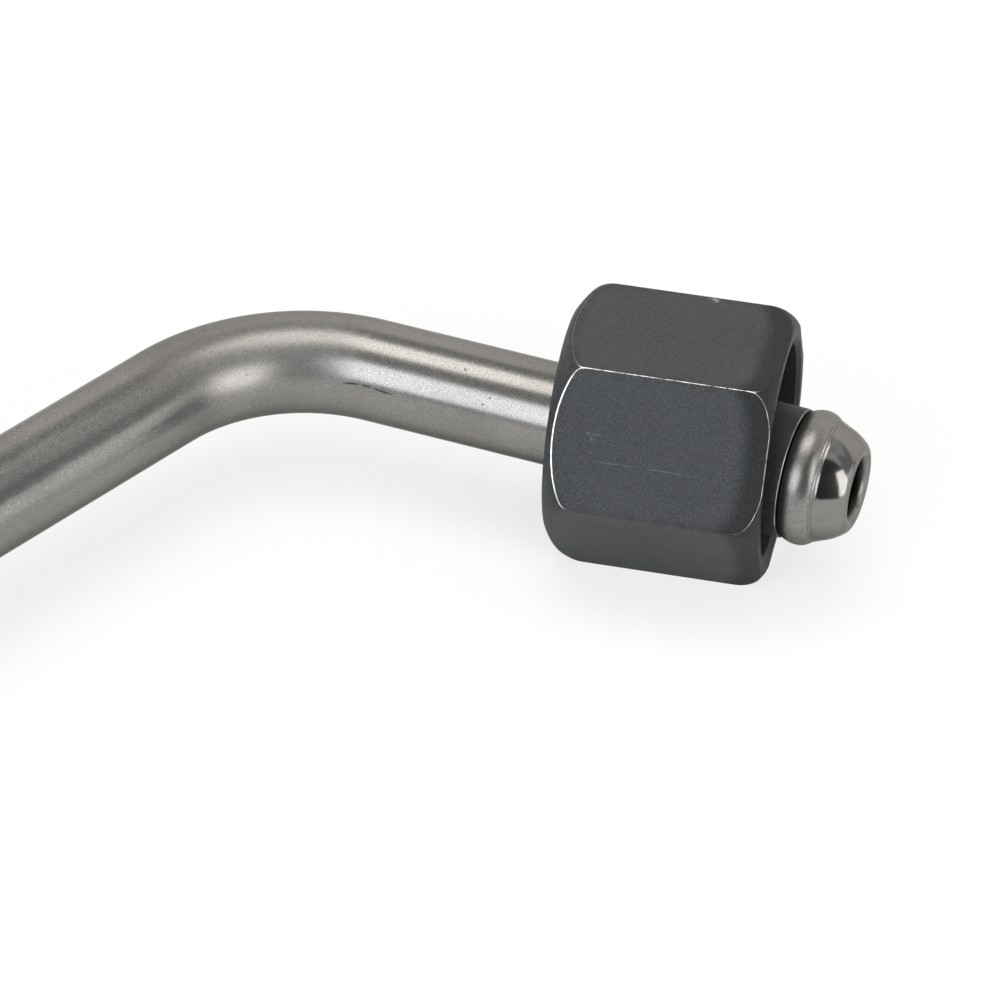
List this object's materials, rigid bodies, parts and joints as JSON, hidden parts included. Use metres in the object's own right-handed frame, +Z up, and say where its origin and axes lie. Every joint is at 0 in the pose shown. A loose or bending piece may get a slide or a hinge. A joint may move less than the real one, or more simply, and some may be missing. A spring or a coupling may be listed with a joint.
{
  "type": "fuel line",
  "caption": "Short bent steel fuel pipe with a formed ball nose, a loose thrust sleeve and a loose dark union nut at each end.",
  "frame": {"origin": "on the axis of port A, where its straight wall begins, 0.8 mm inside the tip of the nose at end A", "axes": "+X out of port A along the straight leg, +Z up, with the bend in the XY plane and the surface that it lies on at z = -9.5 mm"},
  "size_m": [0.0915, 0.097, 0.019],
  "materials": {
    "bright_steel": "satin, bead blasted, with a polished nose",
    "phosphated_steel": "dark grey phosphate, matt, worn bright on the corners"
  },
  "bodies": {
    "tube": {"tube": "bright_steel"},
    "sleeve_a": {"thrust_sleeve_a": "phosphated_steel"},
    "nut_a": {"union_nut_a": "phosphated_steel"},
    "sleeve_b": {"thrust_sleeve_b": "phosphated_steel"},
    "nut_b": {"union_nut_b": "phosphated_steel"}
  },
  "joints": [
    {"name": "sleeve_a_turn", "type": "hinge", "parent": "tube", "child": "sleeve_a", "pos_m": [0, 0, 0], "axis": [1, 0, 0], "continuous": true},
    {"name": "nut_a_slide", "type": "slide", "parent": "sleeve_a", "child": "nut_a", "axis": [1, 0, 0], "range_m": [-0.014, 0.009]},
    {"name": "sleeve_b_turn", "type": "hinge", "parent": "tube", "child": "sleeve_b", "pos_m": [-0.08345, -0.08204, 0], "axis": [-0.3907, -0.9205, 0], "continuous": true},
    {"name": "nut_b_slide", "type": "slide", "parent": "sleeve_b", "child": "nut_b", "axis": [-0.3907, -0.9205, 0], "range_m": [-0.054, 0.0105]}
  ]
}
